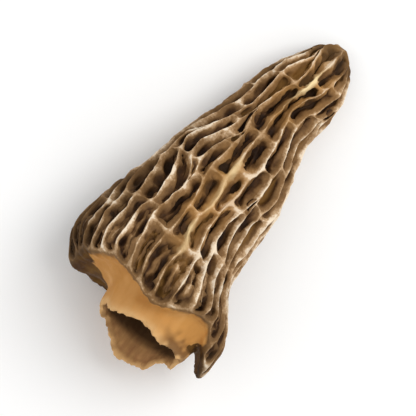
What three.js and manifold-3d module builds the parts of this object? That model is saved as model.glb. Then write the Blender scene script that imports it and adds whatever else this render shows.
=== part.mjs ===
import * as THREE from "three";
import { mergeVertices } from "three/addons/utils/BufferGeometryUtils.js";
import Module from "manifold-3d";

// A dried morel lying on its side, tip along +X, resting on z = 0, in millimetres.
// Cap and stem stub grew as one hollow body, so the whole mushroom is one solid.
// A place on the cap is given by a, the distance up its axis from the lower edge, by an
// angle round the axis from the top (+Z) toward +Y, and by a depth below the rib crests.

const cap = {
  length: 37.2, // lower edge to apex
  radius: 9.5, // of the cone, at the lower edge
  taper: 0.162, // radius lost for each mm up the axis
  bluntness: 14, // a higher power keeps the cone full closer to the apex
  flatness: 0.88, // height over width of every section, slumped in drying
  sag: 0.12, // share of the height lost where it settled on its underside
  skirt: 2.5, // extra radius low on the cap
  skirtReach: 5.8, // and how far up it dies away
  tuck: 1.8, // the lower edge curls in by this
  tuckFrom: -1,
  tuckOver: 2.9,
  mostLean: 0.1, // pits lean toward the tip by at most this, for each mm of depth
  slopeStep: 0.05, // along the axis, to find the slope of its surface
};
const swells = [
  { at: 2.6, wide: 1.8, by: 0.4 },
  { at: 17.5, wide: 4.5, by: 0.5 },
  { at: 25, wide: 2.5, by: -0.25 },
  { at: 30.5, wide: 3, by: 0.42 },
];
const bends = [
  { at: -1.5, wide: 4, by: -0.8 },
  { at: 7.5, wide: 6.5, by: 1.35 },
  { at: 16, wide: 5, by: 0.35 },
  { at: 22, wide: 8, by: 0.4 },
];
const tipHook = { from: 25, over: 11, by: -1 };
const lumps = [
  { folds: 3, twist: 0.35, phase: 0.4, by: 0.22 },
  { folds: 2, twist: -0.2, phase: 1.9, by: 0.2 },
];
const edgeLobes = [
  { angle: -6, wide: 19, by: 1.4 },
  { angle: -42, wide: 15, by: -1.3 },
  { angle: -86, wide: 19, by: 3.3 },
  { angle: 112, wide: 32, by: 1.0 },
]; // how far the lower edge hangs past a = 0
const edgeWaves = [
  { folds: 7, twist: 0, phase: 0.4, by: 0.2 },
  { folds: 17, twist: 0, phase: 1.1, by: 0.16 },
];
const lobeReach = 3.2; // how far up the cap a lobe still draws the ribs down
const drifts = [
  { folds: 1, twist: 0.22, phase: 2.6, by: 0.07 },
  { folds: 3, twist: 0.75, phase: 0.9, by: 0.03 },
  { folds: 6, twist: -1.3, phase: 0.2, by: 0.015 },
]; // how ribs sway round the axis on their way up

const net = {
  lanes: 31, // rows of pits running up the cap, each between two ribs
  throughLanes: 12, // lanes that reach the upper third
  tipLanes: 7, // lanes that reach the apex
  lateEvery: 6, // one in so many of the other lanes opens part way up
  lateFirst: 2, // and this is the first of them
  stations: 24, // places along the axis where ribs have a point
  crowding: 0.25, // how much closer they stand toward the tip
  reach: 37.0, // the last station
  closing: 3.8, // stations over which a lane narrows to nothing
  baseCloses: [5, 17], // stations where lanes open from the lower edge run out
  throughCloses: [18, 23],
  lateOpens: [5, 10],
  lateLasts: [7, 11],
  sway: 0.22, // how much lane widths vary
  swayLength: [9, 16],
  jitter: 0.1, // sideways wander of a rib's points, a share of the lane beside it
  slant: 0.2, // lengthways wander, a share of the station spacing, which slants the cross ribs
  shortestPit: 2, // in stations
  firstPit: [3, 7], // pit lengths at the lower edge
  lowPit: [3.2, 7.5], // above it
  highPit: [5, 9], // and on the upper third
  highFrom: 21,
};
const rib = {
  crestDip: 0.22, // most that a rib's crest lies below the envelope
  crossDip: [0.2, 0.7], // and a cross rib's
  crossPlace: [0.4, 0.6], // where a cross rib's lowest point is, across its lane
  edgeDip: 0.4, // ribs curl under at the cap's lower edge
  edgeCrossDip: 1.3, // where the pits between them run out
  shoulder: { width: 0.35, most: 0.4, mostIfSplit: 0.26, ofDepth: 0.09 }, // half a rib at its crest
  foot: { width: 0.7, most: 0.66, mostIfSplit: 0.58, ofDepth: 0.8 }, // and at its foot
};
const pit = {
  least: 0.3, // depth of the narrowest
  depth: 1.35, // more in the widest
  spread: [0.78, 1.1], // each pit's own share of that depth
  fullWidth: 2, // narrower pits are shallower
  tipShallow: 0.4, // share of the depth lost at the tip
  tipFrom: 26,
  edgeShallow: 0.4, // and at the lower edge
  edgeOver: 4,
  splitWidth: 1.5, // wide pits near the lower edge hold a low rib of their own
  splitFull: 2.1,
  splitBelow: 9,
  splitOver: 3.5,
  splitDip: 0.4, // its crest, below its neighbours'
};

const stem = {
  aside: -2.3, // its centre, sideways of the cap's axis
  lift: 0.8, // and above it
  radius: 5.5,
  flatness: 0.95,
  flare: 0.5, // extra radius where it meets the cap
  top: -0.9, // where it comes out from under the cap's edge
  wall: 1.15,
  end: -3.7, // where it was torn off
  endJag: 0.16,
  outside: [0, 0.5, 1], // sections down the outside, as shares of its length
  inside: [0.97, 0.4], // and back up the inside
};
const wrinkles = [
  { folds: 7, twist: 0.8, phase: 0, by: 0.12 },
  { folds: 11, twist: -1, phase: 0, by: 0.12 },
];
const flap = { angle: 192, wide: 42, by: 2.1, power: 4 }; // wall left longer on the underside
const tears = [
  { folds: 5, twist: 0, phase: 0.6, by: 0.28 },
  { folds: 9, twist: 0, phase: 2.1, by: 0.17 },
];
const lip = { past: -0.4, depth: 1.25, groove: 0.2, inset: 0.5, lowest: -1.3 }; // under the cap's edge
const hollow = {
  skin: 2.75, // from the crests to the hollow, inside the cap
  throat: 1, // the last section of stem wall, inside the cap
  stations: [4.5, 9, 15, 21, 27, 30.2],
  top: 31.6,
};

// How it lies: the tip dips until crests near both ends rest on the surface
const lie = { x: -14.95, y: -0.03, z: 8.28, tiltDeg: 9.6 };
const surface = { size: 120, thickness: 10 };
const weldGap = 1e-4;

const fullTurn = 2 * Math.PI;
const goldenRatio = (1 + Math.sqrt(5)) / 2;
const radians = THREE.MathUtils.degToRad;
const ease = (t) => THREE.MathUtils.smoothstep(t, 0, 1);
const hump = (x, { at, wide, by }) => by * Math.exp(-(((x - at) / wide) ** 2));
const sum = (list, value) => list.reduce((total, item) => total + value(item), 0);
const waves = (list, angle, a) =>
  sum(list, (w) => w.by * Math.sin(w.folds * angle + w.twist * a + w.phase));

// The same seeded draws give the same mushroom each time
let drawState = 29;
function draw([low, high]) {
  drawState = (drawState * 1664525 + 1013904223) % 4294967296;
  return low + ((high - low) * drawState) / 4294967296;
}

function angularHump(angle, { angle: centreDeg, wide, by, power = 2 }) {
  const away = angle - radians(centreDeg);
  const wrapped = Math.atan2(Math.sin(away), Math.cos(away));
  return by * Math.exp(-(Math.abs(wrapped / radians(wide)) ** power));
}

function capRadius(a) {
  const cone = (cap.radius - cap.taper * a) * Math.sqrt(1 - (a / cap.length) ** cap.bluntness);
  const skirt = cap.skirt * Math.exp(-Math.max(a, 0) / cap.skirtReach);
  const tuck = cap.tuck * (1 - ease((a - cap.tuckFrom) / cap.tuckOver));
  return cone + skirt - tuck + sum(swells, (s) => hump(a, s));
}

function capCentre(a) {
  return sum(bends, (b) => hump(a, b)) + tipHook.by * ease((a - tipHook.from) / tipHook.over);
}

function capPoint({ a, angle: straight, depth }) {
  const angle = straight + waves(drifts, straight, a);
  const step = cap.slopeStep;
  const slope = (capRadius(a + step) - capRadius(a - step)) / (2 * step);
  const steepness = Math.hypot(1, slope);
  const fade = Math.min(1, capRadius(a) / cap.radius);
  const radius = capRadius(a) + waves(lumps, angle, a) * fade - depth / steepness;
  const settled = 1 - cap.sag * Math.max(0, -Math.cos(angle)) ** 2;
  return new THREE.Vector3(
    a + depth * Math.min(slope / steepness, cap.mostLean),
    capCentre(a) + radius * Math.sin(angle),
    cap.flatness * radius * settled * Math.cos(angle),
  );
}

function stemPoint({ a, angle: straight, depth }) {
  const angle = straight + waves(drifts, straight, a);
  const flare = stem.flare * ease((a - stem.end) / (stem.top - stem.end));
  const radius = stem.radius + flare + waves(wrinkles, angle, a) - depth;
  return new THREE.Vector3(
    a,
    stem.aside + radius * Math.sin(angle),
    stem.lift + stem.flatness * radius * Math.cos(angle),
  );
}

// Stations crowd toward the tip, where the cap rounds over
function stationAt(j) {
  const t = j / net.stations;
  return net.reach * t * (1 + net.crowding * (1 - t * t));
}

// A lane opens and closes at a station; one open at the lower edge starts before station 0.
// Steps of the golden ratio keep early and late lanes mixed all round the cap
function makeLane(k) {
  const through = (k * net.throughLanes) % net.lanes < net.throughLanes;
  const toTip = (k * net.tipLanes) % net.lanes < net.tipLanes || k === net.lanes - 1;
  const late = !through && !toTip && k % net.lateEvery === net.lateFirst;
  const pick = ([low, high]) => low + Math.round((high - low) * ((k * goldenRatio) % 1));
  const opens = late ? pick(net.lateOpens) : -net.closing;
  const baseCloses = late ? opens + pick(net.lateLasts) : pick(net.baseCloses);
  const closes = through ? pick(net.throughCloses) : baseCloses;
  return {
    opens,
    closes: toTip ? net.stations + net.closing : closes,
    swayLength: draw(net.swayLength),
    swayPhase: draw([0, 1]),
  };
}

const isOpen = (lane, j) => j > lane.opens && j < lane.closes;

function laneWeight(lane, j) {
  const opening = ease((j - lane.opens) / net.closing);
  const closing = ease((lane.closes - j) / net.closing);
  const sway = Math.sin(fullTurn * (stationAt(j) / lane.swayLength + lane.swayPhase));
  return opening * closing * (1 + net.sway * sway);
}

function lobeDrop(a, angle) {
  const drop = sum(edgeLobes, (lobe) => angularHump(angle, lobe)) + waves(edgeWaves, angle, 0);
  return drop * Math.exp(-a / lobeReach);
}

// One point of the net: where it is on the cap, and its number in the mesh
function netPoint(points, a, angle, depth) {
  const place = { a: a - lobeDrop(a, angle), angle, depth, index: points.length };
  points.push(capPoint(place));
  return place;
}

function lengthwaysWander(j) {
  const fixed = j === 0 || j === net.stations;
  const spacing = fixed ? 0 : stationAt(j + 1) - stationAt(j);
  return spacing * draw([-net.slant, net.slant]);
}

// Rib k runs on the low-angle side of lane k. Where a lane is closed, its two ribs are one
function makeRibs(points, lanes) {
  const ribs = lanes.map(() => []);
  for (let j = 0; j <= net.stations; j++) {
    const weights = lanes.map((lane) => laneWeight(lane, j));
    const total = sum(weights, (w) => w);
    const a = stationAt(j);
    let passed = 0;
    lanes.forEach((lane, k) => {
      if (k > 0 && !isOpen(lanes[k - 1], j)) {
        ribs[k][j] = ribs[k - 1][j];
      } else {
        const beside = [weights[k], weights[k - 1] ?? weights.at(-1)].filter((w) => w > 0);
        const sideways = Math.min(...beside) * draw([-net.jitter, net.jitter]);
        const along = lengthwaysWander(j);
        const angle = (fullTurn * (passed + sideways)) / total;
        const dip = draw([0, rib.crestDip]) + (j === 0 ? rib.edgeDip : 0);
        ribs[k][j] = netPoint(points, a + along, angle, dip);
      }
      passed += weights[k];
    });
  }
  return ribs;
}

// The stations where a lane's pits meet, from its lower end to its upper
function pitEnds(lane) {
  const last = Math.min(lane.closes, net.stations);
  const ends = [Math.max(lane.opens, 0)];
  let length = draw(net.firstPit);
  for (let j = ends[0] + net.shortestPit; j <= last - net.shortestPit; j++) {
    const start = stationAt(ends.at(-1));
    if (j - ends.at(-1) >= net.shortestPit && stationAt(j) - start >= length) {
      ends.push(j);
      length = draw(stationAt(j) > net.highFrom ? net.highPit : net.lowPit);
    }
  }
  return [...ends, last];
}

function between(p, q, share, turn) {
  return {
    a: p.a + (q.a - p.a) * share,
    angle: p.angle + (q.angle + turn - p.angle) * share,
  };
}

// A point moved from the crest toward the middle line of its pit
function insetPoint(points, crest, middle, share) {
  const apart = Math.hypot(middle.a - crest.a, (middle.angle - crest.angle) * capRadius(crest.a));
  const most = THREE.MathUtils.lerp(share.most, share.mostIfSplit, middle.split);
  const place = between(crest, middle, Math.min(share.width / apart, most), 0);
  place.depth = crest.depth + share.ofDepth * (middle.depth - crest.depth);
  place.index = points.length;
  points.push(capPoint(place));
  return place;
}

// Narrow lanes have shallow pits and low cross ribs
function openness(left, right, turn) {
  const width = (right.angle + turn - left.angle) * capRadius(left.a);
  return ease(width / pit.fullWidth);
}

function pitFloor(left, right, ownDepth) {
  const middle = between(left, right, 0.5, 0);
  const tip = 1 - pit.tipShallow * ease((middle.a - pit.tipFrom) / (cap.length - pit.tipFrom));
  const edge = 1 - pit.edgeShallow * (1 - ease(middle.a / pit.edgeOver));
  const below = pit.least + pit.depth * ownDepth * openness(left, right, 0) * tip * edge;
  const crest = Math.max(left.depth, right.depth);
  middle.depth = crest + below;
  const width = (right.angle - left.angle) * capRadius(middle.a);
  const wide = ease((width - pit.splitWidth) / (pit.splitFull - pit.splitWidth));
  middle.split = wide * ease((pit.splitBelow - middle.a) / pit.splitOver);
  middle.top = THREE.MathUtils.lerp(middle.depth, crest + pit.splitDip, middle.split);
  return middle;
}

function stitch(faces, outer, inner) {
  outer.forEach((p, i) => {
    const next = (i + 1) % outer.length;
    faces.push([p.index, outer[next].index, inner[next].index]);
    faces.push([p.index, inner[next].index, inner[i].index]);
  });
}

// One pit: from the shared crests down a shoulder and a foot to the middle line
function makePit(mesh, crossRibs, ribs, k, low, high) {
  const { points, faces } = mesh;
  const rightRib = ribs[(k + 1) % ribs.length];
  const turn = k + 1 === ribs.length ? fullTurn : 0;
  const left = (j) => ribs[k][j];
  const right = (j) => ({ ...rightRib[j], angle: rightRib[j].angle + turn });
  const ownDepth = draw(pit.spread);
  const middles = [];
  for (let j = low + 1; j < high; j++) {
    const middle = pitFloor(left(j), right(j), ownDepth);
    middle.index = points.length;
    points.push(capPoint({ ...middle, depth: middle.top }));
    middles.push(middle);
  }
  const middleOf = (j) => middles[THREE.MathUtils.clamp(j - low - 1, 0, middles.length - 1)];
  const loop = [];
  const add = (crest, j) => loop.push({ crest, middle: middleOf(j) });
  const cross = (j) => crossRibs.get(`${k} ${j}`);
  for (let j = low; j <= high; j++) add(left(j), j);
  if (cross(high)) add(cross(high), high);
  if (right(high).index !== left(high).index) add(right(high), high);
  for (let j = high - 1; j > low; j--) add(right(j), j);
  if (right(low).index !== left(low).index) add(right(low), low);
  if (cross(low)) add(cross(low), low);
  const inset = (share) =>
    loop.map(({ crest, middle }) => insetPoint(points, crest, middle, share));
  const shoulders = inset(rib.shoulder);
  const feet = inset(rib.foot);
  stitch(faces, loop.map(({ crest }) => crest), shoulders);
  stitch(faces, shoulders, feet);
  stitch(faces, feet, loop.map(({ middle }) => middle));
}

// A cross rib closes a lane between two pits, and sags between its two ribs
function makeCrossRib(points, ribs, k, j) {
  const rightRib = ribs[(k + 1) % ribs.length];
  const turn = k + 1 === ribs.length ? fullTurn : 0;
  const place = between(ribs[k][j], rightRib[j], draw(rib.crossPlace), turn);
  const along = lengthwaysWander(j);
  const dip = draw(rib.crossDip) * openness(ribs[k][j], rightRib[j], turn);
  place.depth = j === 0 ? rib.edgeCrossDip : dip;
  place.a += along;
  place.index = points.length;
  points.push(capPoint(place));
  return place;
}

function makeNet(mesh) {
  const lanes = Array.from({ length: net.lanes }, (_, k) => makeLane(k));
  const ribs = makeRibs(mesh.points, lanes);
  const crossRibs = new Map();
  lanes.forEach((lane, k) => {
    const ends = pitEnds(lane);
    for (const j of ends) {
      if (isOpen(lane, j)) crossRibs.set(`${k} ${j}`, makeCrossRib(mesh.points, ribs, k, j));
    }
    ends.slice(1).forEach((high, i) => makePit(mesh, crossRibs, ribs, k, ends[i], high));
  });
  const ringAt = (j) =>
    lanes.flatMap((lane, k) => (isOpen(lane, j) ? [ribs[k][j], crossRibs.get(`${k} ${j}`)] : []));
  return { edge: ringAt(0), crown: ringAt(net.stations) };
}

function closeRing(mesh, ring, tip, turned) {
  const centre = mesh.points.length;
  mesh.points.push(tip);
  ring.forEach((p, i) => {
    const next = ring[(i + 1) % ring.length];
    mesh.faces.push(turned ? [next.index, p.index, centre] : [p.index, next.index, centre]);
  });
}

function addRing(mesh, ring, point) {
  const next = ring.map((p) => {
    const index = mesh.points.length;
    mesh.points.push(point(p));
    return { ...p, index };
  });
  stitch(mesh.faces, ring, next);
  return next;
}

function tornEnd(angle) {
  const jag = waves(tears, angle, 0) + draw([-stem.endJag, stem.endJag]);
  return stem.end - angularHump(angle, flap) + jag;
}

// From the cap's lower edge: under the edge, down the stem, over its torn end and up inside
function makeStemAndHollow(mesh, edge) {
  let ring = edge.map((p) => ({ ...p, torn: tornEnd(p.angle) }));
  const next = (point) => {
    ring = addRing(mesh, ring, point);
  };
  const underEdge = (p) => capPoint({ ...p, a: p.a + lip.past, depth: lip.depth });
  const onStem = (share, depth) => (p) => {
    const a = stem.top + (p.torn - stem.top) * share;
    return stemPoint({ a, angle: p.angle, depth });
  };
  next(underEdge);
  next((p) => {
    const edgePoint = underEdge(p);
    const stemTop = stemPoint({ a: edgePoint.x, angle: p.angle, depth: 0 });
    const groove = lip.groove * edgePoint.distanceTo(stemTop);
    return edgePoint.lerp(stemTop, lip.inset).setX(Math.max(p.a + lip.past + groove, lip.lowest));
  });
  stem.outside.forEach((share) => next(onStem(share, 0)));
  stem.inside.forEach((share) => next(onStem(share, stem.wall)));
  next(({ angle }) => stemPoint({ a: hollow.throat, angle, depth: stem.wall }));
  for (const a of hollow.stations) {
    next(({ angle }) => capPoint({ a, angle, depth: hollow.skin }));
  }
  closeRing(mesh, ring, new THREE.Vector3(hollow.top, capCentre(hollow.top), 0), false);
}

function skinGeometry() {
  const mesh = { points: [], faces: [] };
  const { edge, crown } = makeNet(mesh);
  closeRing(mesh, crown, new THREE.Vector3(cap.length, capCentre(cap.length), 0), true);
  makeStemAndHollow(mesh, edge);
  const geometry = new THREE.BufferGeometry().setFromPoints(mesh.points);
  return geometry.setIndex(mesh.faces.flat());
}

const wasm = await Module();
wasm.setup();

function toSolid(geometry) {
  geometry.deleteAttribute("normal");
  geometry.deleteAttribute("uv");
  const merged = mergeVertices(geometry, weldGap);
  return new wasm.Manifold(
    new wasm.Mesh({
      numProp: 3,
      vertProperties: merged.attributes.position.array,
      triVerts: new Uint32Array(merged.index.array),
    }),
  );
}

function toGeometry(solid) {
  const { vertProperties, triVerts } = solid.getMesh();
  return new THREE.BufferGeometry()
    .setAttribute("position", new THREE.BufferAttribute(vertProperties, 3))
    .setIndex(new THREE.BufferAttribute(triVerts, 1));
}

// The crests that carry it are worn flat where they rest
function restFlat(geometry, placed) {
  const block = new THREE.BoxGeometry(surface.size, surface.size, surface.thickness);
  block.translate(0, 0, -surface.thickness / 2);
  block.applyMatrix4(placed.matrix.clone().invert());
  return toGeometry(toSolid(geometry).subtract(toSolid(block)));
}

function makeMorel() {
  const flesh = new THREE.MeshStandardMaterial({
    color: 0x8f6b43,
    roughness: 0.8,
    metalness: 0,
  });
  const morel = new THREE.Mesh(new THREE.BufferGeometry(), flesh);
  morel.name = "morel";
  morel.position.set(lie.x, lie.y, lie.z);
  morel.rotation.y = radians(lie.tiltDeg);
  morel.updateMatrix();
  morel.geometry = restFlat(skinGeometry(), morel);
  return morel;
}

const part = new THREE.Group();
part.add(makeMorel());

export default part;
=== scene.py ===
import math

import bpy
import numpy as np
from mathutils import Matrix, Vector, noise


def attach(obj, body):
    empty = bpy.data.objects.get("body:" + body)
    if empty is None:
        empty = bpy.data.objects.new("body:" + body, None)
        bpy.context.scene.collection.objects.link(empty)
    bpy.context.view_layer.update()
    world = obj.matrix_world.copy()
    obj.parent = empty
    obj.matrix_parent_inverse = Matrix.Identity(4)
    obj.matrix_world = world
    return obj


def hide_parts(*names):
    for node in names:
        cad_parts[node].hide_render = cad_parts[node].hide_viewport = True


# A dried morel on its side, tip along +X. The mushroom is worked out in millimetres in a frame
# of its own, x up its axis and angles from +Z toward +Y, then laid on the floor in metres.

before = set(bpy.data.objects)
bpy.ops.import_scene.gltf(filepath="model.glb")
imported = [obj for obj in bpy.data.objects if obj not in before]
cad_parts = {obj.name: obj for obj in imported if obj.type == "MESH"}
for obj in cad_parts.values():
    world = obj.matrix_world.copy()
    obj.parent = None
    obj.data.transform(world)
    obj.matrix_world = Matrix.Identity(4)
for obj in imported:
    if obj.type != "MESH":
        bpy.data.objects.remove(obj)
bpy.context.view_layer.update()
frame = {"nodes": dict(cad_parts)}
print("frame loaded:", ", ".join(frame["nodes"]))

millimetre = 0.001
fullTurn = 2 * math.pi
goldenRatio = (1 + math.sqrt(5)) / 2


def ease(t):
    t = min(max(t, 0), 1)
    return t * t * (3 - 2 * t)


def rise(x, start, over):
    return ease((x - start) / over)


def hump(x, at, wide, by=1):
    return by * math.exp(-(((x - at) / wide) ** 2))


def angularHump(angle, at, wide, by=1, power=2):
    away = angle - math.radians(at)
    wrapped = math.atan2(math.sin(away), math.cos(away))
    return by * math.exp(-(abs(wrapped / math.radians(wide)) ** power))


def angularHumps(angle, parts):
    return sum(angularHump(angle, **part) for part in parts)


def waves(parts, angle, a):
    return sum(w["by"] * math.sin(w["folds"] * angle + w["twist"] * a + w["phase"]) for w in parts)


# The same draws, in the same order, as the solid underneath was made with
seed = 29
drawState = seed
drawFactor = 1664525
drawStep = 1013904223
drawRange = 2 ** 32
noise.seed_set(seed)  # vector noise would differ from run to run without it


def draw(limits):
    global drawState
    drawState = (drawState * drawFactor + drawStep) % drawRange
    return limits[0] + (limits[1] - limits[0]) * drawState / drawRange


# The cap's envelope, which the rib crests reach
cap = {
    "length": 37.2,  # lower edge to apex
    "radius": 9.5,  # of the cone, at the lower edge
    "taper": 0.162,  # radius lost for each mm up the axis
    "bluntness": 14,  # the higher, the flatter the tip
    "flatness": 0.88,  # height over width
    "sag": 0.12,  # share of the height lost on the underside
    "skirt": 2.5,  # how much the cap flares out at its lower edge
    "skirtReach": 5.8,
    "tuck": 1.8,  # how far the lower edge curls in
    "tuckFrom": -1,
    "tuckOver": 2.9,
    "mostLean": 0.1,  # pits lean toward the tip by at most this, for each mm of depth
    "slopeStep": 0.05,
    "swells": [  # of the radius, at these distances up the axis
        dict(at=2.6, wide=1.8, by=0.4),
        dict(at=17.5, wide=4.5, by=0.5),
        dict(at=25, wide=2.5, by=-0.25),
        dict(at=30.5, wide=3, by=0.42),
    ],
    "bends": [  # of the axis, sideways
        dict(at=-1.5, wide=4, by=-0.8),
        dict(at=7.5, wide=6.5, by=1.35),
        dict(at=16, wide=5, by=0.35),
        dict(at=22, wide=8, by=0.4),
    ],
    "tipHook": dict(start=25, over=11, by=-1),  # the tip bends off to one side
    "lumps": [  # slow unevenness of the radius
        dict(folds=3, twist=0.35, phase=0.4, by=0.22),
        dict(folds=2, twist=-0.2, phase=1.9, by=0.2),
    ],
    "edgeLobes": [  # how far the lower edge hangs down, at these degrees round from the top
        dict(at=-6, wide=19, by=1.4),
        dict(at=-42, wide=15, by=-1.3),
        dict(at=-86, wide=19, by=3.3),
        dict(at=112, wide=32, by=1),
    ],
    "drifts": [  # how the ribs wander round the cap
        dict(folds=1, twist=0.22, phase=2.6, by=0.07),
        dict(folds=3, twist=0.75, phase=0.9, by=0.03),
        dict(folds=6, twist=-1.3, phase=0.2, by=0.015),
    ],
    "edgeWaves": [
        dict(folds=7, twist=0, phase=0.4, by=0.2),
        dict(folds=17, twist=0, phase=1.1, by=0.16),
    ],
    "lobeReach": 3.2,  # the lobes fade out over about this far up the cap
}


def capRadius(a):
    cone = (cap["radius"] - cap["taper"] * a) * math.sqrt(1 - (a / cap["length"]) ** cap["bluntness"])
    skirt = cap["skirt"] * math.exp(-max(a, 0) / cap["skirtReach"])
    tuck = cap["tuck"] * (1 - rise(a, cap["tuckFrom"], cap["tuckOver"]))
    return cone + skirt - tuck + sum(hump(a, **swell) for swell in cap["swells"])


def capCentre(a):
    hook = cap["tipHook"]
    hooked = hook["by"] * rise(a, hook["start"], hook["over"])
    return sum(hump(a, **bend) for bend in cap["bends"]) + hooked


def capPoint(a, plainAngle, depth):
    step = cap["slopeStep"]
    angle = plainAngle + waves(cap["drifts"], plainAngle, a)
    slope = (capRadius(a + step) - capRadius(a - step)) / (2 * step)
    steepness = math.hypot(1, slope)
    fade = min(1, capRadius(a) / cap["radius"])
    radius = capRadius(a) + waves(cap["lumps"], angle, a) * fade - depth / steepness
    settled = 1 - cap["sag"] * max(0, -math.cos(angle)) ** 2
    return Vector((
        a + depth * min(slope / steepness, cap["mostLean"]),
        capCentre(a) + radius * math.sin(angle),
        cap["flatness"] * radius * settled * math.cos(angle),
    ))


# The net of ribs, lane by lane: a lane is a row of pits that runs up the cap
net = {
    "lanes": 31,  # rows of pits in all
    "throughLanes": 12,  # so many of them run on into the upper half
    "tipLanes": 7,  # and so many, with the last one, reach the tip
    "lateEvery": 6,  # one of so many, from the next number on, opens further up the cap
    "lateFirst": 2,
    "stations": 24,  # steps from the lower edge to the tip
    "crowding": 0.25,  # how much closer together they lie toward the tip
    "reach": 37,
    "closing": 3.8,  # stations over which a lane opens or closes
    "baseCloses": (5, 17),
    "throughCloses": (18, 23),
    "lateOpens": (5, 10),
    "lateLasts": (7, 11),
    "sway": 0.22,  # share by which a lane's width comes and goes
    "swayLength": (9, 16),
    "jitter": 0.1,  # of a lane's width, sideways
    "slant": 0.2,  # of the distance between stations, lengthways
    "shortestPit": 2,  # in stations
    "firstPit": (3, 7),  # lengths of pits
    "lowPit": (3.2, 7.5),
    "highPit": (5, 9),
    "highFrom": 21,
}

# Heights go from 0 on a pit's floor to 1 on a crest, and give the skin its colours, dark in the pits
# and cream on the crests: partly the skin's own colours, partly painted shade in the pits and painted
# highlight on the crests
rib = {
    "crestDip": 0.22,  # how far a crest may lie under the cap's envelope
    "crossDip": (0.2, 0.7),  # the same for the short ribs across
    "crossPlace": (0.4, 0.6),
    "crossHeight": 0.9,
    "edgeDip": 0.4,
    "edgeCrossDip": 1.3,
    # A rib's side, in mm from its crest, with at most this share of the way to the pit's middle
    "shoulder": dict(width=0.19, most=0.3, mostIfSplit=0.22, ofDepth=0.12, height=0.8),
    "foot": dict(width=0.72, most=0.74, mostIfSplit=0.55, ofDepth=0.78, height=0.2),
    "apexHeight": 0.8,
    "swell": 0.16,  # crests start this much proud, since smoothing draws them in
    "thickness": 0.6,  # how much a rib's thickness wanders
    "thicknessLength": 3,  # over about this length
    "mainPaleness": 0.35,  # how pale the rib up the middle is between its knots
    "knotPaleness": 1.2,  # how far a knot's paleness goes, against its width
    "knotSpread": 0.45,  # a knot may take this much more of the pit beside it
    "mostOfPit": 0.86,
    "mainKnots": [
        dict(at=6.9, wide=0.95, by=2.3),
        dict(at=12.4, wide=0.8, by=1.9),
        dict(at=16.2, wide=0.8, by=1.8),
        dict(at=30, wide=2, by=0.3),
    ],
}

pit = {
    "least": 0.3,  # the shallowest pits
    "depth": 1.35,
    "spread": (0.78, 1.1),  # each pit's own share of the depth
    "fullWidth": 2,  # from here on a pit has its full depth
    "toneMix": (12.9898, 78.233, 43758.5453),  # scatters the tones from pit to pit
    "tipShallow": 0.4,
    "tipFrom": 26,
    "edgeShallow": 0.4,
    "edgeOver": 4,
    "splitWidth": 1.5,  # wide pits near the lower edge hold a low rib of their own
    "splitFull": 2.1,
    "splitBelow": 9,
    "splitOver": 3.5,
    "splitDip": 0.4,
    "splitHeight": 0.85,
}

evenTone = 0.5  # stands for a pit's tone where there is no pit


class Cage:
    # Points with what the finish needs to know about each, and faces between them
    def __init__(self):
        self.points = []
        self.faces = []
        names = ["ribHeight", "mainRib", "pitTone", "stemSkin", "innerSkin", "torn", "deepInside"]
        self.traits = {name: [] for name in names}

    def add(self, point, **traits):
        self.points.append(point)
        for name, values in self.traits.items():
            values.append(traits.get(name, 0.0))
        return len(self.points) - 1

    def face(self, *corners):
        kept = [c for i, c in enumerate(corners) if c != corners[i - 1]]
        if len(kept) > 2:
            self.faces.append(kept)


def stationAt(j):
    t = j / net["stations"]
    return net["reach"] * t * (1 + net["crowding"] * (1 - t * t))


def roundHalfUp(x):
    return math.floor(x + 0.5)


def makeLane(k):
    through = (k * net["throughLanes"]) % net["lanes"] < net["throughLanes"]
    toTip = (k * net["tipLanes"]) % net["lanes"] < net["tipLanes"] or k == net["lanes"] - 1
    late = not through and not toTip and k % net["lateEvery"] == net["lateFirst"]

    def pick(limits):
        return limits[0] + roundHalfUp((limits[1] - limits[0]) * ((k * goldenRatio) % 1))

    opens = pick(net["lateOpens"]) if late else -net["closing"]
    closes = opens + pick(net["lateLasts"]) if late else pick(net["baseCloses"])
    if through:
        closes = pick(net["throughCloses"])
    if toTip:
        closes = net["stations"] + net["closing"]
    return {
        "opens": opens,
        "closes": closes,
        "swayLength": draw(net["swayLength"]),
        "swayPhase": draw((0, 1)),
    }


def isOpen(lane, j):
    return lane["opens"] < j < lane["closes"]


def laneWeight(lane, j):
    opening = rise(j, lane["opens"], net["closing"])
    closing = ease((lane["closes"] - j) / net["closing"])
    sway = math.sin(fullTurn * (stationAt(j) / lane["swayLength"] + lane["swayPhase"]))
    return opening * closing * (1 + net["sway"] * sway)


def lobeDrop(a, angle):
    drop = angularHumps(angle, cap["edgeLobes"]) + waves(cap["edgeWaves"], angle, 0)
    return drop * math.exp(-a / cap["lobeReach"])


def lengthwaysWander(j):
    fixed = j in (0, net["stations"])
    spacing = 0 if fixed else stationAt(j + 1) - stationAt(j)
    return spacing * draw((-net["slant"], net["slant"]))


def palenessAt(k, a):
    # Only the first rib is the pale one
    if k > 0:
        return 0.0
    reach = rib["knotPaleness"]
    knotted = sum(hump(a, knot["at"], reach * knot["wide"]) for knot in rib["mainKnots"])
    return rib["mainPaleness"] + (1 - rib["mainPaleness"]) * min(1, knotted)


def netPoint(cage, a, angle, depth, paleness):
    place = {"a": a - lobeDrop(a, angle), "angle": angle, "depth": depth, "paleness": paleness}
    point = capPoint(place["a"], angle, depth - rib["swell"])
    place["index"] = cage.add(point, ribHeight=1, mainRib=paleness, pitTone=evenTone)
    return place


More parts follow.
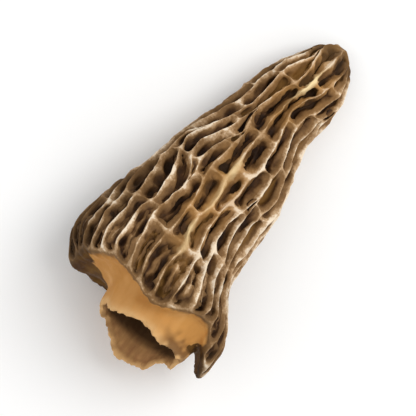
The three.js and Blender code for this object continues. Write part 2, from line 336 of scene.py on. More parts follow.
def makeRibs(cage, lanes):
    ribs = [{} for _ in lanes]
    for j in range(net["stations"] + 1):
        weights = [laneWeight(lane, j) for lane in lanes]
        total = sum(weights)
        a = stationAt(j)
        passed = 0
        for k, lane in enumerate(lanes):
            if k > 0 and not isOpen(lanes[k - 1], j):
                ribs[k][j] = ribs[k - 1][j]
            else:
                beside = [w for w in (weights[k], weights[k - 1]) if w > 0]
                sideways = min(beside) * draw((-net["jitter"], net["jitter"]))
                along = lengthwaysWander(j)
                angle = fullTurn * (passed + sideways) / total
                dip = draw((0, rib["crestDip"])) + (rib["edgeDip"] if j == 0 else 0)
                ribs[k][j] = netPoint(cage, a + along, angle, dip, palenessAt(k, a))
            passed += weights[k]
    return ribs


def pitEnds(lane):
    last = min(lane["closes"], net["stations"])
    ends = [max(lane["opens"], 0)]
    length = draw(net["firstPit"])
    j = ends[0] + net["shortestPit"]
    while j <= last - net["shortestPit"]:
        start = stationAt(ends[-1])
        if j - ends[-1] >= net["shortestPit"] and stationAt(j) - start >= length:
            ends.append(j)
            length = draw(net["highPit"] if stationAt(j) > net["highFrom"] else net["lowPit"])
        j += 1
    return ends + [last]


def between(p, q, share, turn=0.0):
    return {
        "a": p["a"] + (q["a"] - p["a"]) * share,
        "angle": p["angle"] + (q["angle"] + turn - p["angle"]) * share,
    }


def turned(place, turn):
    return {**place, "angle": place["angle"] + turn}


def knottiness(crest):
    if not crest.get("paleness"):
        return 0.0
    return sum(hump(crest["a"], **knot) for knot in rib["mainKnots"])


def ribThickness(crest):
    here = capPoint(crest["a"], crest["angle"], 0) / rib["thicknessLength"]
    wander = 1 + rib["thickness"] * noise.noise(here)
    return wander * (1 + knottiness(crest))


def insetPoint(cage, crest, middle, share, pitTone):
    # A point of a rib's side, between its crest and the middle of the pit
    around = (middle["angle"] - crest["angle"]) * capRadius(crest["a"])
    apart = math.hypot(middle["a"] - crest["a"], around)
    width = share["width"] * ribThickness(crest)
    most = share["most"] + (share["mostIfSplit"] - share["most"]) * middle["split"]
    most = min(rib["mostOfPit"], most * (1 + rib["knotSpread"] * knottiness(crest)))
    place = between(crest, middle, min(width / apart, most))
    depth = crest["depth"] + share["ofDepth"] * (middle["depth"] - crest["depth"])
    point = capPoint(place["a"], place["angle"], depth)
    height = share["height"]
    paleness = crest.get("paleness", 0) * height
    place["index"] = cage.add(point, ribHeight=height, mainRib=paleness, pitTone=pitTone)
    return place


def openness(left, right, turn=0.0):
    width = (right["angle"] + turn - left["angle"]) * capRadius(left["a"])
    return ease(width / pit["fullWidth"])


def pitFloor(left, right, ownDepth):
    middle = between(left, right, 0.5)
    toTip = rise(middle["a"], pit["tipFrom"], cap["length"] - pit["tipFrom"])
    tip = 1 - pit["tipShallow"] * toTip
    edge = 1 - pit["edgeShallow"] * (1 - ease(middle["a"] / pit["edgeOver"]))
    below = pit["least"] + pit["depth"] * ownDepth * openness(left, right) * tip * edge
    crest = max(left["depth"], right["depth"])
    middle["depth"] = crest + below
    width = (right["angle"] - left["angle"]) * capRadius(middle["a"])
    wide = rise(width, pit["splitWidth"], pit["splitFull"] - pit["splitWidth"])
    middle["split"] = wide * ease((pit["splitBelow"] - middle["a"]) / pit["splitOver"])
    middle["top"] = middle["depth"] + (crest + pit["splitDip"] - middle["depth"]) * middle["split"]
    return middle


def stitch(cage, outer, inner):
    for i, p in enumerate(outer):
        n = (i + 1) % len(outer)
        cage.face(p["index"], outer[n]["index"], inner[n]["index"], inner[i]["index"])


def ownTone(k, low):
    # From 0 to 1, and without a draw
    laneMix, stationMix, spread = pit["toneMix"]
    return (math.sin(k * laneMix + low * stationMix) * spread) % 1


def makePit(cage, crossRibs, ribs, k, low, high):
    rightRib = ribs[(k + 1) % len(ribs)]
    turn = fullTurn if k + 1 == len(ribs) else 0.0
    leftAt = ribs[k]
    rightAt = {j: turned(p, turn) for j, p in rightRib.items()}
    ownDepth = draw(pit["spread"])
    pitTone = ownTone(k, low)
    middles = []
    for j in range(low + 1, high):
        middle = pitFloor(leftAt[j], rightAt[j], ownDepth)
        point = capPoint(middle["a"], middle["angle"], middle["top"])
        height = pit["splitHeight"] * middle["split"]
        middle["index"] = cage.add(point, ribHeight=height, pitTone=pitTone)
        middles.append(middle)

    def middleOf(j):
        return middles[min(max(j - low - 1, 0), len(middles) - 1)]

    loop = [(leftAt[j], middleOf(j)) for j in range(low, high + 1)]
    crossHigh = crossRibs.get((k, high))
    crossLow = crossRibs.get((k, low))
    if crossHigh:
        loop.append((crossHigh, middleOf(high)))
    if rightAt[high]["index"] != leftAt[high]["index"]:
        loop.append((rightAt[high], middleOf(high)))
    loop += [(rightAt[j], middleOf(j)) for j in range(high - 1, low, -1)]
    if rightAt[low]["index"] != leftAt[low]["index"]:
        loop.append((rightAt[low], middleOf(low)))
    if crossLow:
        loop.append((crossLow, middleOf(low)))
    shoulders = [insetPoint(cage, *pair, rib["shoulder"], pitTone) for pair in loop]
    feet = [insetPoint(cage, *pair, rib["foot"], pitTone) for pair in loop]
    stitch(cage, [crest for crest, middle in loop], shoulders)
    stitch(cage, shoulders, feet)
    stitch(cage, feet, [middle for crest, middle in loop])


def makeCrossRib(cage, ribs, k, j):
    rightRib = ribs[(k + 1) % len(ribs)]
    turn = fullTurn if k + 1 == len(ribs) else 0.0
    place = between(ribs[k][j], rightRib[j], draw(rib["crossPlace"]), turn)
    along = lengthwaysWander(j)
    dip = draw(rib["crossDip"]) * openness(ribs[k][j], rightRib[j], turn)
    place["depth"] = rib["edgeCrossDip"] if j == 0 else dip
    place["a"] += along
    point = capPoint(place["a"], place["angle"], place["depth"] - rib["swell"])
    place["index"] = cage.add(point, ribHeight=rib["crossHeight"], pitTone=evenTone)
    return place


def makeNet(cage):
    lanes = [makeLane(k) for k in range(net["lanes"])]
    ribs = makeRibs(cage, lanes)
    crossRibs = {}
    for k, lane in enumerate(lanes):
        ends = pitEnds(lane)
        for j in ends:
            if isOpen(lane, j):
                crossRibs[k, j] = makeCrossRib(cage, ribs, k, j)
        for low, high in zip(ends, ends[1:]):
            makePit(cage, crossRibs, ribs, k, low, high)

    def ringAt(j):
        opened = [k for k, lane in enumerate(lanes) if isOpen(lane, j)]
        return [p for k in opened for p in (ribs[k][j], crossRibs[k, j])]

    return ringAt(0), ringAt(net["stations"])


# The stem's stub, its torn end and the hollow
stem = {
    "aside": -2.3,  # off the cap's axis, sideways and up
    "lift": 0.8,
    "radius": 5.5,
    "flatness": 0.95,
    "flare": 0.5,
    "top": -0.9,
    "end": -3.7,
    "endJag": 0.16,  # each point of the torn end may stand out or back by this
    "outside": [0, 0.35, 0.7, 1],  # sections down the outside, as shares of its length
    "rim": [(1.02, 0.2), (0.99, 0.5)],  # the torn edge: share of the length, and depth in the wall
    "inside": [(0.75, 0.75), (0.4, 1.0)],  # back up the inside
    "wall": 1.15,
    "wrinkles": [
        dict(folds=7, twist=0.8, phase=0, by=0.12),
        dict(folds=11, twist=-1, phase=0, by=0.12),
    ],
    "flap": dict(at=192, wide=42, by=2.1, power=4),  # where the torn wall is left longer
    "tears": [
        dict(folds=5, twist=0, phase=0.6, by=0.28),
        dict(folds=9, twist=0, phase=2.1, by=0.17),
    ],
    "lip": dict(past=-0.4, depth=1.25, groove=0.2, inset=0.5, lowest=-1.3),
    "edgeSkin": dict(stemSkin=0.6, ribHeight=0.6, pitTone=evenTone),
    "lipSkin": dict(stemSkin=1, ribHeight=0.3, pitTone=evenTone),
    "outerSkin": dict(stemSkin=1, ribHeight=0.35, pitTone=evenTone),
    "tornFade": 4,  # the higher, the closer to its end the torn look begins
}
hollow = {
    "skin": 2.75,  # flesh between the hollow and the crests
    "throat": 1,
    "stations": [4.5, 9, 15, 21, 27, 30.2],
    "top": 31.6,
    "throatDark": 0.3,
    "firstDark": 0.5,  # painted shade in the hollow: at the first station, then darker by a step at each
    "darkStep": 0.25,
    "shadeFrom": -3.65,  # painted shade inside, from here up
    "shadeOver": 0.9,
    "shadeMost": 0.88,
}


def stemPoint(a, plainAngle, depth):
    angle = plainAngle + waves(cap["drifts"], plainAngle, a)
    flare = stem["flare"] * rise(a, stem["end"], stem["top"] - stem["end"])
    radius = stem["radius"] + flare + waves(stem["wrinkles"], angle, a) - depth
    return Vector((
        a,
        stem["aside"] + radius * math.sin(angle),
        stem["lift"] + stem["flatness"] * radius * math.cos(angle),
    ))


def tornEnd(angle):
    jag = waves(stem["tears"], angle, 0) + draw((-stem["endJag"], stem["endJag"]))
    return stem["end"] - angularHump(angle, **stem["flap"]) + jag


def closeRing(cage, ring, tip, flipped, **traits):
    centre = cage.add(tip, **traits)
    for i, p in enumerate(ring):
        following = ring[(i + 1) % len(ring)]
        if flipped:
            cage.face(following["index"], p["index"], centre)
        else:
            cage.face(p["index"], following["index"], centre)


def addRing(cage, ring, pointOf, **traits):
    made = [{**p, "index": cage.add(pointOf(p), **traits)} for p in ring]
    stitch(cage, ring, made)
    return made


def underEdge(p):
    return capPoint(p["a"] + stem["lip"]["past"], p["angle"], stem["lip"]["depth"])


def lipPoint(p):
    lip = stem["lip"]
    edgePoint = underEdge(p)
    stemTop = stemPoint(edgePoint.x, p["angle"], 0)
    point = edgePoint.lerp(stemTop, lip["inset"])
    point.x = max(p["a"] + lip["past"] + lip["groove"] * (edgePoint - stemTop).length, lip["lowest"])
    return point


def onStem(share, depth):
    def pointOf(p):
        a = stem["top"] + (p["torn"] - stem["top"]) * share
        return stemPoint(a, p["angle"], depth)
    return pointOf


def throatPoint(p):
    return stemPoint(hollow["throat"], p["angle"], stem["wall"])


def onHollow(a):
    def pointOf(p):
        return capPoint(a, p["angle"], hollow["skin"])
    return pointOf


def makeStemAndHollow(cage, edge):
    ring = [{**p, "torn": tornEnd(p["angle"])} for p in edge]
    ring = addRing(cage, ring, underEdge, **stem["edgeSkin"])
    ring = addRing(cage, ring, lipPoint, **stem["lipSkin"])
    for share in stem["outside"]:
        torn = share ** stem["tornFade"]
        ring = addRing(cage, ring, onStem(share, 0), torn=torn, **stem["outerSkin"])
    for share, depth in stem["rim"]:
        ring = addRing(cage, ring, onStem(share, depth), stemSkin=1, innerSkin=depth, torn=1)
    for share, depth in stem["inside"]:
        torn = share ** stem["tornFade"]
        ring = addRing(cage, ring, onStem(share, depth), innerSkin=1, torn=torn)
    ring = addRing(cage, ring, throatPoint, innerSkin=1, deepInside=hollow["throatDark"])
    for i, a in enumerate(hollow["stations"]):
        dark = min(1, hollow["firstDark"] + hollow["darkStep"] * i)
        ring = addRing(cage, ring, onHollow(a), innerSkin=1, deepInside=dark)
    top = Vector((hollow["top"], capCentre(hollow["top"]), 0))
    closeRing(cage, ring, top, False, innerSkin=1, deepInside=1)


# Where the middle of the lower edge comes to lie, and how far the tip leans down
lie = {"x": -14.95, "y": -0.03, "z": 8.28, "tiltDeg": 9.6}

# From the cage to a wrinkled skin
wrinkling = {
    "warp": 0.3,  # how far ribs are pushed sideways between the cage's points
    "warpLength": 1.75,
    "chip": 0.24,  # how unevenly the crests have dried down
    "chipLength": 1.1,
    "chipShare": 0.1,  # the higher, the more of the crests are chipped
    "crestFrom": 0.6,  # heights that count as crest
    "crestOver": 0.4,
    "fold": 0.24,  # small lengthways ridges on the walls and floors of the pits
    "foldSharpness": 4,
    "foldBelow": 0.8,  # heights that count as pit
    "foldOver": 0.3,
    "baseFold": 0.3,
    "baseFoldReach": 6,
    "foldLength": 0.8,
    "foldStretch": 3.5,
    "crinkle": 0.11,  # small sideways waves of the crests
    "crinkleLength": 0.75,
    "ripple": 0.035,  # fine unevenness all over
    "rippleLength": 0.42,
    "rippleCalm": 0.5,  # stem and hollow have this much less of it
    "fibre": 0.05,  # lengthways folds of stem and hollow
    "fibreLength": 0.5,
    "fibreStretch": 5,
    "ragged": 0.45,  # how ragged the torn edge is
    "raggedLength": 0.7,
    "fray": 0.4,  # finer raggedness on top of it, as a share of it
    "frayFineness": 2.5,
}

# The dark under the cap's lower edge, against the stem's tan: partly the flesh's own darker colour,
# partly painted shade where the edge hangs over
underLip = {
    "edgeRadius": 10.6,
    "leftFrom": 50,  # degrees round from the top where the lip turns dark, at the cap's edge
    "rightFrom": -60,
    "rightLow": 13,  # sooner by this for each mm below the rest of the edge
    "slant": 8,  # and this many degrees later for each mm further in
    "soft": 5,
    "unevenness": 11,  # degrees
    "patchLength": 1.4,
    "speckLength": 0.5,
    "speckShare": 0.5,
    "underFrom": 100,  # underneath, the dark thins out toward the stem
    "underOver": 40,
    "underClears": 0.75,
    "nearStem": dict(start=-0.9, over=2.4),
    "clearOfStem": 6.7,  # further than this from the stem's centre, all of it is lip
    "clearOver": 0.6,
    "aboveEnd": dict(start=0.8, over=1.2),  # nearer than this to the torn end, none of it is
    "fullSkin": 1.5,  # the higher, the further the dark reaches up into the cap's edge
    "rimWidth": 2.2,
    "rimWander": 0.8,
    "rimLength": 0.8,
}


def inwardOfEdge(point):
    return underLip["edgeRadius"] - math.hypot(point.y - capCentre(0), point.z)


def lipDarknessAndShade(point):
    lip = underLip
    patches = noise.noise(point / lip["patchLength"])
    specks = lip["speckShare"] * noise.noise(point / lip["speckLength"])
    angle = math.degrees(math.atan2(point.y - capCentre(0), point.z))
    angle += lip["unevenness"] * (patches + specks)
    later = lip["slant"] * inwardOfEdge(point)
    low = lip["rightLow"] * max(0, -point.x)
    left = (angle - lip["leftFrom"] - later) / lip["soft"]
    right = (lip["rightFrom"] + low - later - angle) / lip["soft"]
    fromStem = math.hypot(point.y - stem["aside"], point.z - stem["lift"]) - lip["clearOfStem"]
    above = rise(point.x - stem["end"], **lip["aboveEnd"])
    onLip = max(above, ease(fromStem / lip["clearOver"]))
    under = rise(abs(angle), lip["underFrom"], lip["underOver"])
    clearing = lip["underClears"] * under * (1 - rise(fromStem, **lip["nearStem"]))
    return ease(max(left, right)) * onLip * (1 - clearing)


def lipRimness(point):
    wander = underLip["rimWander"] * noise.noise(point / underLip["rimLength"])
    return 1 - ease(inwardOfEdge(point) / underLip["rimWidth"] + wander)


# Dirt on the stem's sides
stain = {
    "where": [dict(at=-52, wide=28, by=1.35), dict(at=150, wide=40, by=0.6)],
    "start": -1.1,  # from here down to the torn edge
    "over": 1.4,
    "even": 0.55,  # how much of it lies all over, and how much in patches
    "patchy": 1.6,
    "patchLength": 0.9,
}


def stemStain(point):
    angle = math.atan2(point.y - stem["aside"], point.z - stem["lift"])
    amount = angularHumps(angle, stain["where"]) * ease((stain["start"] - point.x) / stain["over"])
    return amount * (stain["even"] + stain["patchy"] * noise.noise(point / stain["patchLength"]))


# Where the skin is darker and greyer: partly dried that way, partly painted shade on the side turned
# from the key lamp and under the hanging left lobe of the lower edge
weatherAndShade = {
    "sideFrom": 42,  # degrees round from the top
    "sideTo": 80,
    "side": 0.8,  # how strong it is there; this darkening of the side is painted shade
    "lobes": [  # at the lower edge; the one at 110 degrees is painted shade on the hanging left lobe
        dict(at=110, wide=45, by=0.6),
        dict(at=-88, wide=20, by=0.7),
        dict(at=-48, wide=28, by=0.45),
    ],
    "lobeReach": 6,
    "tipFrom": 31.5,
    "tipTo": 36,
    "tip": 1.3,
    "patches": 0.7,
    "patchLength": 5,
    "upperClean": 0.35,  # the upper cap is cleaner by this
    "cleanFrom": 18,
    "cleanOver": 8,
    "most": 1.2,
}


def weatheringAndShade(point):
    w = weatherAndShade
    angle = math.atan2(point.y - capCentre(max(point.x, 0)), point.z)
    side = w["side"] * rise(math.degrees(angle), w["sideFrom"], w["sideTo"] - w["sideFrom"])
    lobe = angularHumps(angle, w["lobes"]) * math.exp(-max(point.x, 0) / w["lobeReach"])
    tip = w["tip"] * rise(point.x, w["tipFrom"], w["tipTo"] - w["tipFrom"])
    patch = w["patches"] * noise.noise(point / w["patchLength"])
    clean = w["upperClean"] * rise(point.x, w["cleanFrom"], w["cleanOver"])
    return min(max(side + lobe + tip + patch - clean, 0), w["most"])


# Golden flesh round the knots of the pale rib
glow = {
    "reach": 3.2,  # how far it spreads along the rib, for each mm of a knot's width
    "across": 2.3,  # and to both sides
    "patches": 1.2,
    "patchLength": 2.2,
}


def goldenness(point):
    if point.z < 0 or not 0 < point.x < cap["length"]:
        return 0.0
    aside = point.y - capPoint(point.x, 0, 0).y
    reach = glow["reach"]
    along = sum(hump(point.x, knot["at"], reach * knot["wide"]) for knot in rib["mainKnots"])
    patch = 1 + glow["patches"] * noise.noise(point / glow["patchLength"])
    return min(along, 1) * hump(aside, 0, glow["across"]) * patch


def buildCage():
    cage = Cage()
    edge, crown = makeNet(cage)
    apex = Vector((cap["length"], capCentre(cap["length"]), 0))
    closeRing(cage, crown, apex, True, ribHeight=rib["apexHeight"], pitTone=evenTone)
    makeStemAndHollow(cage, edge)
    mesh = bpy.data.meshes.new("morelCage")
    mesh.from_pydata([tuple(p) for p in cage.points], [], cage.faces)
    cage.traits["weatheredAndShaded"] = [weatheringAndShade(p) for p in cage.points]
    cage.traits["golden"] = [goldenness(p) for p in cage.points]
    for name, values in cage.traits.items():
        addTrait(mesh, name, values)
    mesh.update()
    return mesh


def smoothed(mesh):
    # One step of subdivision, with the traits carried along
    holder = bpy.data.objects.new("smoothing", mesh)
    bpy.context.scene.collection.objects.link(holder)
    step = holder.modifiers.new("smooth", "SUBSURF")
    step.levels = 1
    step.render_levels = 1
    graph = bpy.context.evaluated_depsgraph_get()
    finer = bpy.data.meshes.new_from_object(holder.evaluated_get(graph))
    bpy.data.objects.remove(holder)
    bpy.data.meshes.remove(mesh)
    return finer


def trait(mesh, name):
    values = np.zeros(len(mesh.vertices), np.float32)
    mesh.attributes[name].data.foreach_get("value", values)
    return values


def changeTrait(mesh, name, values):
    mesh.attributes[name].data.foreach_set("value", np.asarray(values, np.float32))


def addTrait(mesh, name, values):
    mesh.attributes.new(name, "FLOAT", "POINT")
    changeTrait(mesh, name, values)


def vertexArrays(mesh):
    places = np.zeros(len(mesh.vertices) * 3, np.float32)
    mesh.vertices.foreach_get("co", places)
    normals = np.zeros(len(mesh.vertices) * 3, np.float32)
    mesh.vertex_normals.foreach_get("vector", normals)
    return places.reshape(-1, 3), normals.reshape(-1, 3)


def noiseAt(places, length):
    return np.array([noise.noise(Vector(p) / length) for p in places.tolist()])


def vectorNoiseAt(places, length):
    return np.array([noise.noise_vector(Vector(p) / length) for p in places.tolist()])


def moveVertices(mesh, places):
    mesh.vertices.foreach_set("co", places.astype(np.float32).ravel())
    mesh.update()


def warpRibs(mesh):
    places, normals = vertexArrays(mesh)
    w = wrinkling
    onCap = 1 - np.maximum(trait(mesh, "innerSkin"), trait(mesh, "stemSkin"))
    crest = np.clip((trait(mesh, "ribHeight") - w["crestFrom"]) / w["crestOver"], 0, 1) * onCap
    chips = np.clip(noiseAt(places, w["chipLength"]) + w["chipShare"], 0, 1)
    moved = places + w["warp"] * onCap[:, None] * vectorNoiseAt(places, w["warpLength"])
    moved -= normals * (w["chip"] * crest * chips)[:, None]
    torn = trait(mesh, "torn")
    moved[:, 0] += w["ragged"] * torn * noiseAt(places, w["raggedLength"])
    moveVertices(mesh, moved)


def lengthways(places, stretch):
    return places * np.array([1 / stretch, 1, 1], np.float32)


def shadeHollow(mesh, places):
    h = hollow
    shaded = np.clip((places[:, 0] - h["shadeFrom"]) / h["shadeOver"], 0, h["shadeMost"])
    deep = np.maximum(trait(mesh, "deepInside"), shaded * trait(mesh, "innerSkin"))
    changeTrait(mesh, "deepInside", deep)


def dirtyStem(mesh, places):
    tan = trait(mesh, "stemSkin")
    dirt = np.zeros(len(places))
    lipDarkAndShade = np.zeros(len(places))
    lipRim = np.zeros(len(places))
    for i in np.nonzero(tan > 0)[0]:
        point = Vector(places[i].tolist())
        dirt[i] = stemStain(point)
        darkness = lipDarknessAndShade(point)
        lipDarkAndShade[i] = darkness * min(1, underLip["fullSkin"] * tan[i])
        lipRim[i] = lipRimness(point)
        tan[i] *= 1 - darkness
    changeTrait(mesh, "stemSkin", tan)
    addTrait(mesh, "stained", np.clip(dirt, 0, 1))
    addTrait(mesh, "lipDarkAndShade", lipDarkAndShade)
    addTrait(mesh, "lipRim", lipRim)


def wrinkleSkin(mesh):
    places, normals = vertexArrays(mesh)
    w = wrinkling
    torn = trait(mesh, "torn")
    height = trait(mesh, "ribHeight")
    smooth = np.maximum(trait(mesh, "innerSkin"), trait(mesh, "stemSkin"))
    ripples = (1 - w["rippleCalm"] * smooth) * noiseAt(places, w["rippleLength"])
    fibres = smooth * noiseAt(lengthways(places, w["fibreStretch"]), w["fibreLength"])
    ridges = np.abs(noiseAt(lengthways(places, w["foldStretch"]), w["foldLength"]))
    inPit = np.clip((w["foldBelow"] - height) / w["foldOver"], 0, 1) * (1 - smooth)
    folds = inPit * (1 - w["foldSharpness"] * ridges)
    fromEdge = np.clip(places[:, 0], 0, None)
    foldSize = w["fold"] + w["baseFold"] * np.exp(-fromEdge / w["baseFoldReach"])
    out = w["ripple"] * ripples + w["fibre"] * fibres + foldSize * folds
    moved = places + normals * out[:, None]
    moved += w["crinkle"] * (1 - smooth)[:, None] * vectorNoiseAt(places, w["crinkleLength"])
    fray = w["fray"] * w["ragged"] * torn
    moved[:, 0] += fray * noiseAt(places, w["raggedLength"] / w["frayFineness"])
    dirtyStem(mesh, places)
    shadeHollow(mesh, places)
    addTrait(mesh, "fold", folds)
    moveVertices(mesh, moved)


def layDown(mesh):
    tilt = Matrix.Rotation(math.radians(lie["tiltDeg"]), 4, "Y")
    placing = Matrix.Translation((lie["x"], lie["y"], lie["z"])) @ tilt
    mesh.transform(Matrix.Scale(millimetre, 4) @ placing)
    places, _ = vertexArrays(mesh)
    places[:, 2] = np.maximum(places[:, 2], 0)  # worn flat where it rests
    moveVertices(mesh, places)


def makeMorel():
    mesh = buildCage()
    print("cage:", len(mesh.vertices), "points,", len(mesh.polygons), "faces")
    mesh = smoothed(mesh)
    warpRibs(mesh)
    mesh = smoothed(mesh)
    wrinkleSkin(mesh)
    layDown(mesh)
    mesh.name = "morelFlesh"
    for polygon in mesh.polygons:
        polygon.use_smooth = True
    morel = bpy.data.objects.new("morelFlesh", mesh)
    bpy.context.scene.collection.objects.link(morel)
    triangles = sum(len(p.vertices) - 2 for p in mesh.polygons)
    print("morel:", len(mesh.vertices), "points,", triangles, "triangles")
    return morel


# The finish of the flesh. Its colours are sRGB, written in hex
flesh = {
    "pitDarkAndShade": "241205",  # from the floor of a pit up to the crests; the darkest is partly painted shade
    "pitBrown": "4a2f17",
    "wallBrown": "87653f",
    "crestTan": "c3a27c",
    # the cream of the crests is partly painted highlight
    "crestCreamAndHighlight": "f0dec4",
    "pitOchre": "94692f",
    "glowOchre": "b98749",
    "mainRibCream": "f0d6a2",
    "weatheredAndShadedGrey": "3d2a10",
    "stemTan": "c48c49",
    "stemLight": "d9a566",
    "stemDark": "b47c3d",
    "innerBrown": "a5744a",
    "innerLight": "c3935c",
    "hollowShadeBrown": "331d0b",
    # pale torn flesh, partly painted highlight along the torn rim
    "tornPaleAndHighlight": "dfb57e",
    "stemStain": "6a4420",
    # the dark tones under the cap's edge, partly painted shade
    "lipOchre": "6b4a1b",
    "lipEdge": "261806",
}


def linearFromSrgb(c):
    return c / 12.92 if c <= 0.04045 else ((c + 0.055) / 1.055) ** 2.4


def colour(name):
    # The linear values that shaders take
    text = flesh[name]
    srgb = [int(text[i:i + 2], 16) / 255 for i in (0, 2, 4)]
    return (*map(linearFromSrgb, srgb), 1)


class Nodes:
    # A short way to write a node tree: each call adds a node, wires its inputs and gives its output
    def __init__(self, material):
        material.use_nodes = True
        self.tree = material.node_tree
        self.tree.nodes.clear()
        self.count = 0
        self.inRow = 8
        self.spacing = (220, -260)

    def add(self, kind, inputs=None, output=0, **settings):
        node = self.tree.nodes.new(kind)
        row, column = divmod(self.count, self.inRow)
        node.location = (self.spacing[0] * column, self.spacing[1] * row)
        self.count += 1
        for name, value in settings.items():
            setattr(node, name, value)
        for name, value in (inputs or {}).items():
            if isinstance(value, bpy.types.NodeSocket):
                self.tree.links.new(value, node.inputs[name])
            else:
                node.inputs[name].default_value = value
        return node.outputs[output] if node.outputs else None

    def trait(self, name):
        return self.add("ShaderNodeAttribute", attribute_name=name, output=2)

    def math(self, operation, a, b):
        return self.add("ShaderNodeMath", {0: a, 1: b}, operation=operation)

    def mix(self, factor, a, b):
        return self.add("ShaderNodeMix", {0: factor, 6: a, 7: b}, output=2, data_type="RGBA")

    def noise(self, place, scale, detail, roughness=0.55):
        inputs = {"Vector": place, "Scale": scale, "Detail": detail, "Roughness": roughness}
        return self.add("ShaderNodeTexNoise", inputs)

    def ramp(self, value, stops):
        output = self.add("ShaderNodeValToRGB", {"Fac": value})
        elements = output.node.color_ramp.elements
        while len(elements) < len(stops):
            elements.new(0.5)
        for element, (position, tint) in zip(elements, stops):
            element.position = position
            element.color = tint
        return output

    def range(self, value, low, high, toLow=0.0, toHigh=1.0):
        return self.add("ShaderNodeMapRange", {0: value, 1: low, 2: high, 3: toLow, 4: toHigh})

    def sum(self, *values):
        total = values[0]
        for value in values[1:]:
            total = self.math("ADD", total, value)
        return total

    def product(self, a, b):
        return self.math("MULTIPLY", a, b)


# Patterns and how they mix. Scales are in waves a metre. A pair says where a mask begins and
# where it is full, and a four adds how strong it is at each of the two
skin = {
    "stretch": 0.22,  # how drawn out the streaks are
    "grain": dict(scale=3200, detail=4),
    "mottle": dict(scale=620, detail=3),
    "blotch": dict(scale=190, detail=2),
    "streak": dict(scale=1500, detail=3),
    "softStreak": dict(scale=480, detail=2),
    "levelStops": [  # level 0 is a pit's floor, level 1 a crest; the dark floor is partly painted shade, the cream crest partly painted highlight
        (0, "pitDarkAndShade"),
        (0.3, "pitBrown"),
        (0.72, "wallBrown"),
        (0.88, "crestTan"),
        (0.98, "crestCreamAndHighlight"),
    ],
    "mottleLevel": (0.3, 0.7, -0.14, 0.1),  # how each lifts the skin's level
    "grainLevel": (0.3, 0.7, -0.07, 0.07),
    "blotchLevel": (0.38, 0.62, -0.15, 0.11),
    "weatherAndShadeLevel": -0.14,
    "foldLevel": 0.2,
    "ochreTone": (0.6, 0.85),  # pits of these tones are ochre inside
    "ochreHeight": (0.55, 0.1),
    "ochre": 0.7,
    "goldenHeight": (0.15, 0.75, 0.04, 0.62),
    "paleRib": (0.35, 0.85),
    "palePatches": (0.25, 0.55, 0.55, 1),
    "greyHeight": (0.8, 1, 0.5, 0.25),
    "stemStops": [(0.3, "stemDark"), (0.5, "stemTan"), (0.7, "stemLight")],
    "stemPatches": (0.35, 0.7, 0.3, 0.9),
    "innerStops": [(0.3, "innerBrown"), (0.7, "innerLight")],
    "torn": 0.7,
    "stained": 0.8,
    "lipPatches": (0.35, 0.65),
    "stemFrom": (0.3, 0.7),
    "innerFrom": (0.3, 0.9),
    "bump": dict(strength=0.5, distance=0.00012, grain=0.5, streak=0.5),
    "roughness": (0.3, 0.7, 0.6, 0.8),
    "shine": 0.16,
}


def stopsOf(name):
    return [(position, colour(tint)) for position, tint in skin[name]]


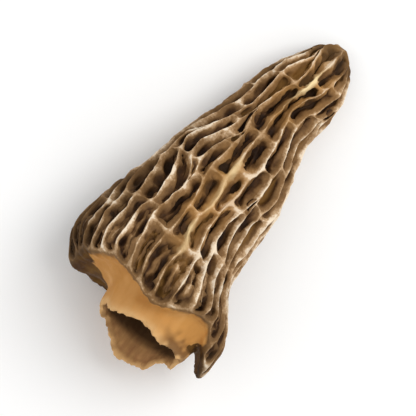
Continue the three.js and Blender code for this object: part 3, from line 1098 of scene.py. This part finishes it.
def makeFleshMaterial():
    material = bpy.data.materials.new("morelFlesh")
    n = Nodes(material)
    place = n.add("ShaderNodeTexCoord", output=3)
    drawnOut = n.add("ShaderNodeMapping", {"Vector": place, "Scale": (skin["stretch"], 1, 1)})
    grain = n.noise(place, **skin["grain"])
    mottle = n.noise(place, **skin["mottle"])
    blotch = n.noise(place, **skin["blotch"])
    streak = n.noise(drawnOut, **skin["streak"])
    softStreak = n.noise(drawnOut, **skin["softStreak"])
    height = n.trait("ribHeight")
    weatheredAndShaded = n.trait("weatheredAndShaded")

    # The cap, from its pits to its crests (dark floors partly painted shade, cream crests partly
    # painted highlight), then its ochre pits, golden flesh, pale rib, and greys that are partly
    # weathering and partly painted shade
    level = n.sum(
        height,
        n.range(mottle, *skin["mottleLevel"]),
        n.range(grain, *skin["grainLevel"]),
        n.product(weatheredAndShaded, skin["weatherAndShadeLevel"]),
        n.product(n.trait("fold"), skin["foldLevel"]),
        n.range(blotch, *skin["blotchLevel"]),
    )
    capTint = n.ramp(level, stopsOf("levelStops"))
    ochreTone = n.range(n.trait("pitTone"), *skin["ochreTone"])
    ochre = n.product(ochreTone, n.range(height, *skin["ochreHeight"]))
    capTint = n.mix(n.product(ochre, skin["ochre"]), capTint, colour("pitOchre"))
    golden = n.product(n.trait("golden"), n.range(height, *skin["goldenHeight"]))
    capTint = n.mix(golden, capTint, colour("glowOchre"))
    palePatches = n.range(mottle, *skin["palePatches"])
    pale = n.product(n.range(n.trait("mainRib"), *skin["paleRib"]), palePatches)
    capTint = n.mix(pale, capTint, colour("mainRibCream"))
    # greyer where weathered, and darker where painted shade lies on the side and the left lobe
    greying = n.product(weatheredAndShaded, n.range(height, *skin["greyHeight"]))
    capTint = n.mix(greying, capTint, colour("weatheredAndShadedGrey"))

    # The dark under the cap's edge: partly darker flesh, partly painted shade
    lipTint = n.mix(n.range(mottle, *skin["lipPatches"]), colour("lipOchre"), colour("pitBrown"))
    lipTint = n.mix(n.trait("lipRim"), lipTint, colour("lipEdge"))
    capTint = n.mix(n.trait("lipDarkAndShade"), capTint, lipTint)

    # The stem, with its pale torn edge (partly painted highlight along the rim) and its dirt, and the
    # hollow with its painted shade
    stemTint = n.ramp(softStreak, stopsOf("stemStops"))
    stemTint = n.mix(n.range(blotch, *skin["stemPatches"]), stemTint, colour("stemTan"))
    stemTint = n.mix(n.product(n.trait("torn"), skin["torn"]), stemTint, colour("tornPaleAndHighlight"))
    stemTint = n.mix(n.product(n.trait("stained"), skin["stained"]), stemTint, colour("stemStain"))
    innerTint = n.ramp(streak, stopsOf("innerStops"))
    # painted shade, darker the further up inside the hollow
    innerTint = n.mix(n.trait("deepInside"), innerTint, colour("hollowShadeBrown"))

    tint = n.mix(n.range(n.trait("stemSkin"), *skin["stemFrom"]), capTint, stemTint)
    tint = n.mix(n.range(n.trait("innerSkin"), *skin["innerFrom"]), tint, innerTint)
    bump = skin["bump"]
    relief = n.add("ShaderNodeBump", {
        "Strength": bump["strength"],
        "Distance": bump["distance"],
        "Height": n.sum(n.product(grain, bump["grain"]), n.product(streak, bump["streak"])),
    })
    surface = n.add("ShaderNodeBsdfPrincipled", {
        "Base Color": tint,
        "Roughness": n.range(grain, *skin["roughness"]),
        "Normal": relief,
        "Specular IOR Level": skin["shine"],
    })
    n.add("ShaderNodeOutputMaterial", {"Surface": surface})
    return material


morel = makeMorel()
morel.data.materials.clear()
morel.data.materials.append(makeFleshMaterial())
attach(morel, "root")
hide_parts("morel")
print("flesh finished")

# What it lies on, and how it is lit and seen
studio = {
    "floorSize": 1.2,  # metres, as the places of the lamps and the camera are
    "floorTint": (0.99, 0.99, 0.985, 1),
    "floorRoughness": 0.9,
    "skyTint": (1, 1, 1, 1),
    "skyStrength": 0.66,
    "keyPower": 1.3,
    "keySize": 0.35,
    "keyPlace": (0.24, -0.14, 0.42),
    "fillPower": 0.25,
    "fillSize": 0.4,
    "fillPlace": (-0.2, 0.25, 0.4),
}

camera = {
    "toward": (-0.089, 0.075, 1.0),  # from the morel to the camera
    "turnDeg": 52,  # how far the morel's axis stands up from the picture's horizontal
    "aim": (-0.00255, 0.00021, 0.008),
    "distance": 0.45,
    "seen": 0.0462,  # width of the picture at the morel
    "sensor": 36,  # mm
    "nearest": 0.01,
}


def makeFloor():
    half = studio["floorSize"] / 2
    mesh = bpy.data.meshes.new("floor")
    corners = [(-half, -half, 0), (half, -half, 0), (half, half, 0), (-half, half, 0)]
    mesh.from_pydata(corners, [], [(0, 1, 2, 3)])
    floor = bpy.data.objects.new("floor", mesh)
    bpy.context.scene.collection.objects.link(floor)
    material = bpy.data.materials.new("floorPaper")
    n = Nodes(material)
    inputs = {"Base Color": studio["floorTint"], "Roughness": studio["floorRoughness"]}
    surface = n.add("ShaderNodeBsdfPrincipled", inputs)
    n.add("ShaderNodeOutputMaterial", {"Surface": surface})
    mesh.materials.append(material)


def makeSoftbox(name, power, size, place):
    lamp = bpy.data.lights.new(name, "AREA")
    lamp.energy = power
    lamp.size = size
    softbox = bpy.data.objects.new(name, lamp)
    softbox.location = place
    softbox.rotation_euler = Vector(place).to_track_quat("Z", "Y").to_euler()
    bpy.context.scene.collection.objects.link(softbox)


def makeSky():
    world = bpy.data.worlds.new("studio")
    world.use_nodes = True
    background = world.node_tree.nodes["Background"]
    background.inputs["Color"].default_value = studio["skyTint"]
    background.inputs["Strength"].default_value = studio["skyStrength"]
    bpy.context.scene.world = world


def makeCamera():
    back = Vector(camera["toward"]).normalized()
    across = Vector((1, 0, 0))
    across = (across - back * across.dot(back)).normalized()
    upward = back.cross(across)
    facing = Matrix((across, upward, back)).transposed()
    facing = facing @ Matrix.Rotation(-math.radians(camera["turnDeg"]), 3, "Z")
    data = bpy.data.cameras.new("camera")
    data.sensor_width = camera["sensor"]
    data.lens = camera["sensor"] * camera["distance"] / camera["seen"]
    data.clip_start = camera["nearest"]
    lens = bpy.data.objects.new("camera", data)
    place = Vector(camera["aim"]) + back * camera["distance"]
    lens.matrix_world = Matrix.Translation(place) @ facing.to_4x4()
    bpy.context.scene.collection.objects.link(lens)
    bpy.context.scene.camera = lens


makeFloor()
makeSoftbox("keySoftbox", studio["keyPower"], studio["keySize"], studio["keyPlace"])
makeSoftbox("fillSoftbox", studio["fillPower"], studio["fillSize"], studio["fillPlace"])
makeSky()
makeCamera()
bpy.context.scene.view_settings.view_transform = "Standard"
print("studio set")
